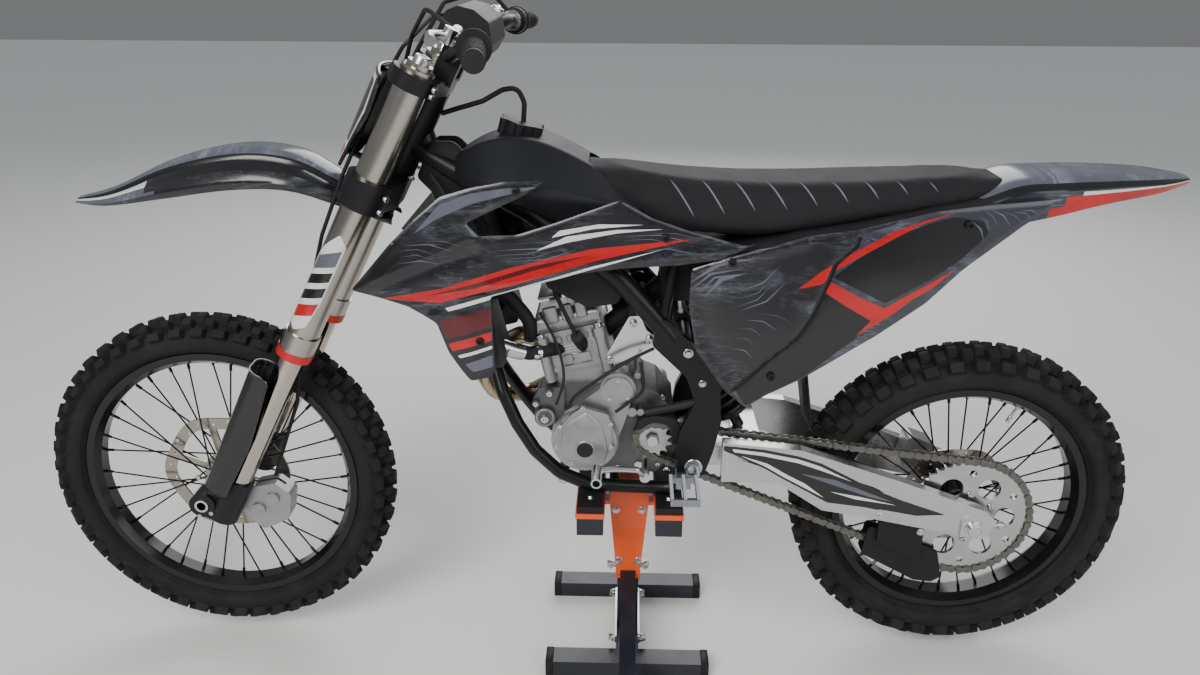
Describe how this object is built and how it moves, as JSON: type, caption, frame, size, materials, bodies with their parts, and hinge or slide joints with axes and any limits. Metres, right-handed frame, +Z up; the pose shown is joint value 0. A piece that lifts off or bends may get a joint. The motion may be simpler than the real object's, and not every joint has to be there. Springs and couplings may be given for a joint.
{
  "type": "dirt bike",
  "caption": "Off-road motorcycle with knobbly tyres on wire wheels, long-travel fork, open engine, chain drive and slim seat, standing on its lift stand.",
  "frame": {"origin": "on the floor under the middle of the machine", "axes": "+Z up, +X towards the tail, +Y to the rider's right, so the machine faces -X"},
  "size_m": [2.1715, 0.821, 1.3077],
  "materials": {
    "tyre": "matt rubber",
    "black_metal": "satin black",
    "aluminium": "brushed",
    "cast_metal": "cast",
    "steel": "brushed",
    "chrome": "polished",
    "red_metal": "anodised",
    "bronze": "heat tinted",
    "panel": "semi gloss",
    "black_plastic": "moulded",
    "seat_cover": "ribbed vinyl",
    "rubber": "matt",
    "stand_blue": "powder coat",
    "stand_orange": "powder coat"
  },
  "bodies": {
    "front_wheel": {"front_tyre": "tyre", "front_rim": "black_metal", "front_spokes": "steel", "front_hub": "aluminium", "front_disc": "steel"},
    "rear_wheel": {"rear_tyre": "tyre", "rear_rim": "black_metal", "rear_spokes": "steel", "rear_hub": "aluminium", "rear_disc": "steel", "rear_sprocket": "aluminium"},
    "steering": {"front_axle": "steel", "fork_outer_tubes": "aluminium", "fork_seal_rings": "red_metal", "fork_inner_tubes": "chrome", "fork_lugs": "cast_metal", "fork_guards": "panel", "fork_clamps": "black_metal", "handlebar": "black_metal", "grips": "rubber", "bar_fittings": "black_plastic", "cables": "rubber", "hand_levers": "aluminium", "front_fender": "panel", "number_plate": "panel", "front_caliper": "aluminium"},
    "root": {"frame": "black_metal", "subframe": "black_metal", "crankcase": "cast_metal", "cylinder": "cast_metal", "cam_cover": "cast_metal", "engine_covers": "cast_metal", "hoses": "rubber", "silencer_caps": "black_metal", "stand_links": "steel", "head_stays": "aluminium", "airbox": "black_plastic", "exhaust_header": "bronze", "silencer": "aluminium", "radiators": "aluminium", "fuel_tank": "black_plastic", "tank_cap": "black_plastic", "seat": "seat_cover", "shrouds": "panel", "side_panels": "panel", "rear_fender": "panel", "swingarm": "aluminium", "shock": "steel", "rear_axle": "steel", "chain": "steel", "chain_guide": "black_plastic", "front_sprocket": "steel", "rear_caliper": "aluminium", "footpegs": "cast_metal", "foot_levers": "aluminium", "stand_base": "stand_blue", "stand_post": "stand_orange", "stand_pads": "rubber"}
  },
  "joints": [
    {"name": "steering", "type": "hinge", "parent": "root", "child": "steering", "pos_m": [-0.67963, 0, 0.34365], "axis": [0.4587, 0, 0.8886], "range_deg": [-42, 42]},
    {"name": "front_wheel_spin", "type": "hinge", "parent": "steering", "child": "front_wheel", "pos_m": [-0.7365, 0, 0.373], "axis": [0, 1, 0], "continuous": true},
    {"name": "rear_wheel_spin", "type": "hinge", "parent": "root", "child": "rear_wheel", "pos_m": [0.7535, 0, 0.349], "axis": [0, 1, 0], "continuous": true}
  ]
}
